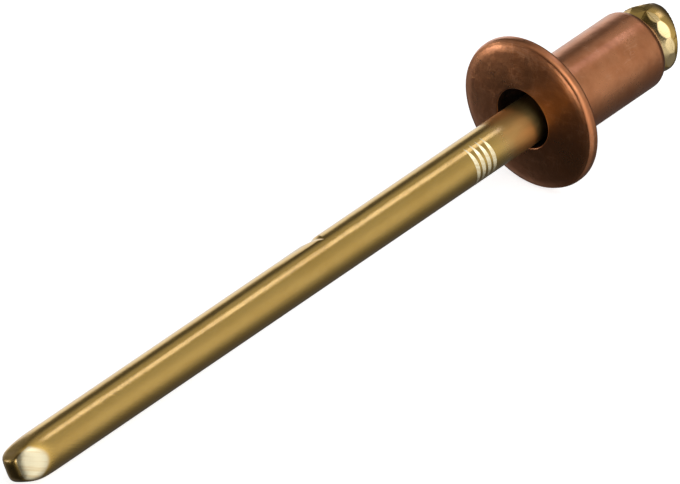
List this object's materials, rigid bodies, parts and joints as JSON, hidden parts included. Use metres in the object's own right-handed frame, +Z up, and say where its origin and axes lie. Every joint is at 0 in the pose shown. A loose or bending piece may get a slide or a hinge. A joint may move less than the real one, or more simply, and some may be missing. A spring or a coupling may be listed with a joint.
{
  "type": "pop rivet",
  "caption": "Blind rivet with a domed flange, its mandrel still through it, that a riveting tool pulls from one side to clamp thin sheets.",
  "frame": {"origin": "on the floor, under the middle of the rivet's length, with the centre line above it", "axes": "+X along the rivet's length from the mandrel's tip towards its head, +Y across, +Z up"},
  "size_m": [0.0368, 0.0062, 0.0062],
  "materials": {
    "copper": null,
    "mandrel_brass": "bright drawn brass-coloured wire with fine lines along it"
  },
  "bodies": {
    "root": {"rivet_body": "copper", "mandrel": "mandrel_brass"}
  },
  "joints": []
}
